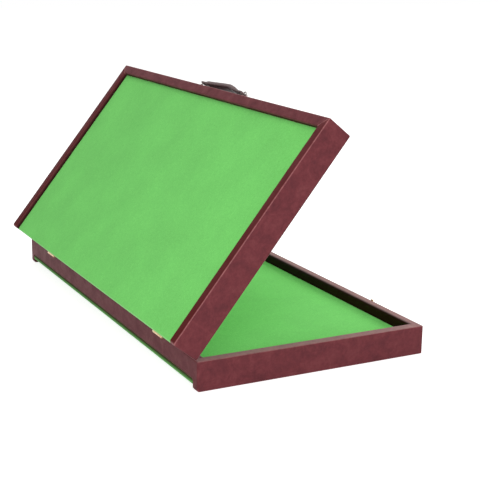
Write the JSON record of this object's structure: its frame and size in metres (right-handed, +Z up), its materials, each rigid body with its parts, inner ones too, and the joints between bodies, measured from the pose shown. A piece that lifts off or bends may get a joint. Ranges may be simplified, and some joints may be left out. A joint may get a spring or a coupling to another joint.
{
  "type": "folding mahjong table",
  "caption": "Tabletop folding mahjong table: felt-lined trays in burgundy leatherette, hinged along a long side, with a carrying handle and latches.",
  "frame": {"origin": "middle of the footprint at rest, on the surface the lower half lies on", "axes": "+X from the hinge side to the handle side, +Y along the hinge, +Z up"},
  "size_m": [0.2764, 0.5, 0.2494],
  "materials": {
    "burgundy_leatherette": "fine-grained leatherette wrap with a soft sheen",
    "green_felt": "matte short-pile felt",
    "fibreboard": "raw fibreboard",
    "plated_brass": "bright brass plating",
    "nickel_plate": "bright nickel plating on steel",
    "handle_leather": "smooth dark leather"
  },
  "bodies": {
    "lower_half": {"lower_near_wall": "fibreboard", "lower_far_wall": "fibreboard", "lower_front_wall": "fibreboard", "lower_hinge_wall": "fibreboard", "lower_near_wrap": "burgundy_leatherette", "lower_far_wrap": "burgundy_leatherette", "lower_front_wrap": "burgundy_leatherette", "lower_hinge_wrap": "burgundy_leatherette", "lower_storage_board": "fibreboard", "lower_play_board": "fibreboard", "lower_batten": "fibreboard", "lower_storage_felt": "green_felt", "lower_play_felt": "green_felt", "near_hinge_lower_leaf": "plated_brass", "near_hinge_pin": "plated_brass", "near_hinge_lower_leaf_screw_a": "plated_brass", "near_hinge_lower_leaf_screw_b": "plated_brass", "near_keeper": "plated_brass", "near_keeper_stud": "plated_brass", "far_hinge_lower_leaf": "plated_brass", "far_hinge_pin": "plated_brass", "far_hinge_lower_leaf_screw_a": "plated_brass", "far_hinge_lower_leaf_screw_b": "plated_brass", "far_keeper": "plated_brass", "far_keeper_stud": "plated_brass"},
    "lid": {"lid_near_wall": "fibreboard", "lid_far_wall": "fibreboard", "lid_front_wall": "fibreboard", "lid_hinge_wall": "fibreboard", "lid_near_wrap": "burgundy_leatherette", "lid_far_wrap": "burgundy_leatherette", "lid_front_wrap": "burgundy_leatherette", "lid_hinge_wrap": "burgundy_leatherette", "lid_storage_board": "fibreboard", "lid_play_board": "fibreboard", "lid_batten": "fibreboard", "lid_storage_felt": "green_felt", "lid_play_felt": "green_felt", "near_hinge_lid_leaf": "plated_brass", "near_hinge_lid_leaf_screw_a": "plated_brass", "near_hinge_lid_leaf_screw_b": "plated_brass", "near_latch_base": "plated_brass", "near_latch_pin": "plated_brass", "near_latch_screw_a": "plated_brass", "near_latch_screw_b": "plated_brass", "near_handle_eye": "nickel_plate", "far_hinge_lid_leaf": "plated_brass", "far_hinge_lid_leaf_screw_a": "plated_brass", "far_hinge_lid_leaf_screw_b": "plated_brass", "far_latch_base": "plated_brass", "far_latch_pin": "plated_brass", "far_latch_screw_a": "plated_brass", "far_latch_screw_b": "plated_brass", "far_handle_eye": "nickel_plate"},
    "handle": {"handle_grip": "handle_leather", "near_handle_ring": "nickel_plate", "far_handle_ring": "nickel_plate"},
    "near_latch": {"near_latch_flap": "plated_brass"},
    "far_latch": {"far_latch_flap": "plated_brass"}
  },
  "joints": [
    {"name": "lid_fold", "type": "hinge", "parent": "lower_half", "child": "lid", "pos_m": [-0.11669, 0, 0.03], "axis": [0, -1, 0], "range_deg": [-51.5, 128.5]},
    {"name": "handle_swing", "type": "hinge", "parent": "lid", "child": "handle", "pos_m": [0.03, 0, 0.23851], "axis": [0, -1, 0], "range_deg": [-40, 40]},
    {"name": "near_latch_swing", "type": "hinge", "parent": "lid", "child": "near_latch", "pos_m": [0.0378, -0.156, 0.23065], "axis": [0, -1, 0], "range_deg": [0, 150]},
    {"name": "far_latch_swing", "type": "hinge", "parent": "lid", "child": "far_latch", "pos_m": [0.0378, 0.156, 0.23065], "axis": [0, -1, 0], "range_deg": [0, 150]}
  ]
}
